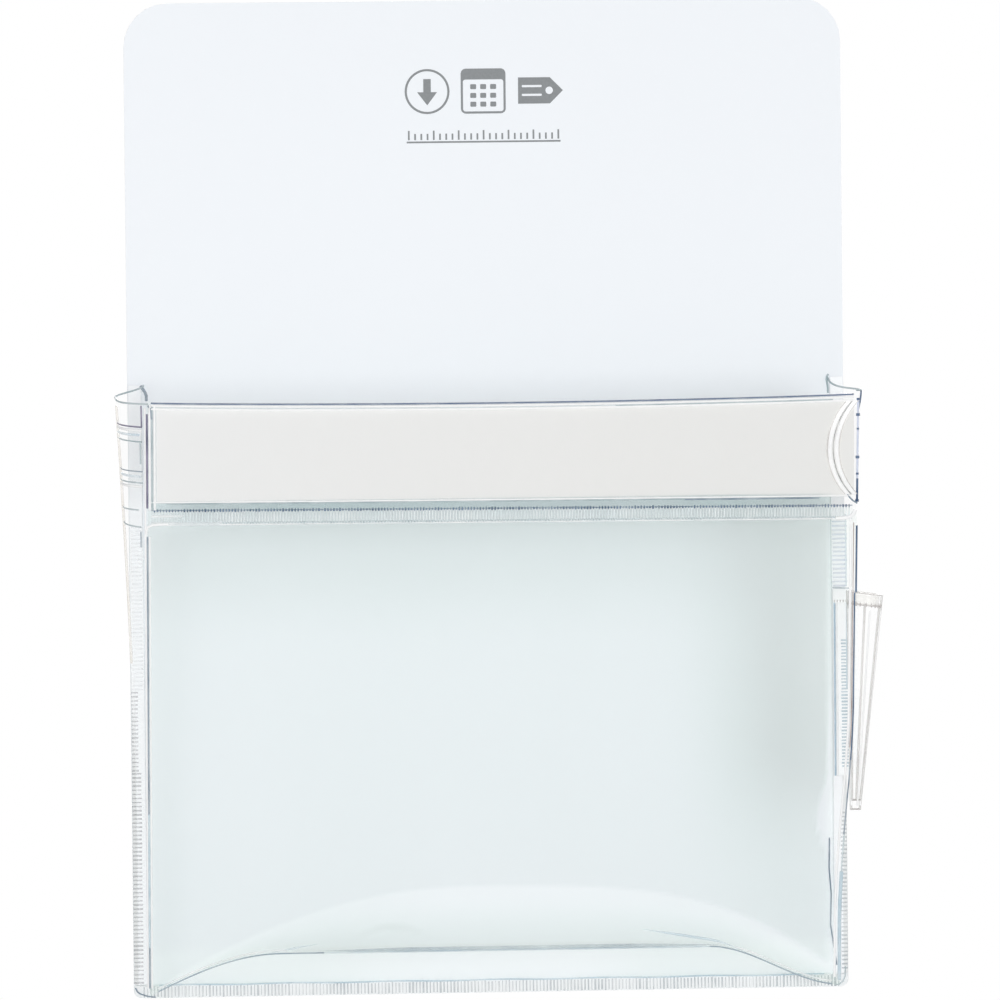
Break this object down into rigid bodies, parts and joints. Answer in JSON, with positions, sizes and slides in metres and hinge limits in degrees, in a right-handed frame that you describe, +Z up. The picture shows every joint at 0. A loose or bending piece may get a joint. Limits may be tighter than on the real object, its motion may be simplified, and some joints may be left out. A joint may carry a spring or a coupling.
{
  "type": "magnetic document pocket",
  "caption": "Wall pocket for documents: opaque magnetic back sheet, clear bellows pocket with a label window and card, and a clear pen sleeve on its right edge.",
  "frame": {"origin": "centre of the top magnet's rear face, on the wall plane y = 0", "axes": "+Z up along the sheet, +Y out of the back into the wall, so the pocket's front faces -Y and the pen sleeve is at +X"},
  "size_m": [0.2461, 0.0328, 0.318],
  "materials": {
    "back_sheet": "satin, bluish white",
    "magnet_top": "matt black magnetic rubber",
    "magnet_middle": "matt black magnetic rubber",
    "magnet_bottom": "matt black magnetic rubber",
    "tape_top": "double-sided tape",
    "tape_middle": "double-sided tape",
    "tape_bottom": "double-sided tape",
    "left_flange": "clear film, ribbed weld",
    "right_flange": "clear film, ribbed weld",
    "bottom_flange": "clear film, ribbed weld",
    "left_gusset": "clear film",
    "right_gusset": "clear film",
    "front_film": "clear film",
    "label_window": "clear film, ribbed weld at its foot",
    "label_card": "matt warm grey card",
    "pen_sleeve_strip": "clear film, ribbed weld",
    "pen_sleeve": "clear film",
    "pen_sleeve_hem": "clear film, welded hem"
  },
  "bodies": {
    "back": {"back_sheet": "back_sheet", "magnet_top": "magnet_top", "magnet_middle": "magnet_middle", "magnet_bottom": "magnet_bottom", "tape_top": "tape_top", "tape_middle": "tape_middle", "tape_bottom": "tape_bottom", "left_flange": "left_flange", "right_flange": "right_flange", "bottom_flange": "bottom_flange", "left_gusset": "left_gusset", "right_gusset": "right_gusset", "pen_sleeve_strip": "pen_sleeve_strip"},
    "front": {"front_film": "front_film", "label_window": "label_window"},
    "card": {"label_card": "label_card"},
    "sleeve": {"pen_sleeve": "pen_sleeve", "pen_sleeve_hem": "pen_sleeve_hem"}
  },
  "joints": [
    {"name": "mouth_hinge", "type": "hinge", "parent": "back", "child": "front", "pos_m": [0, -0.0037, -0.2857], "axis": [1, 0, 0], "range_deg": [-4, 1.5], "stiffness_Nm_per_rad": 0.5, "deforming": ["left_gusset", "right_gusset"]},
    {"name": "card_slide", "type": "slide", "parent": "front", "child": "card", "axis": [1, 0, 0], "range_m": [0, 0.2]},
    {"name": "sleeve_swing", "type": "hinge", "parent": "back", "child": "sleeve", "pos_m": [0.115, -0.0046, -0.198], "axis": [0, 0, -1], "range_deg": [0, 12], "stiffness_Nm_per_rad": 0.002}
  ]
}
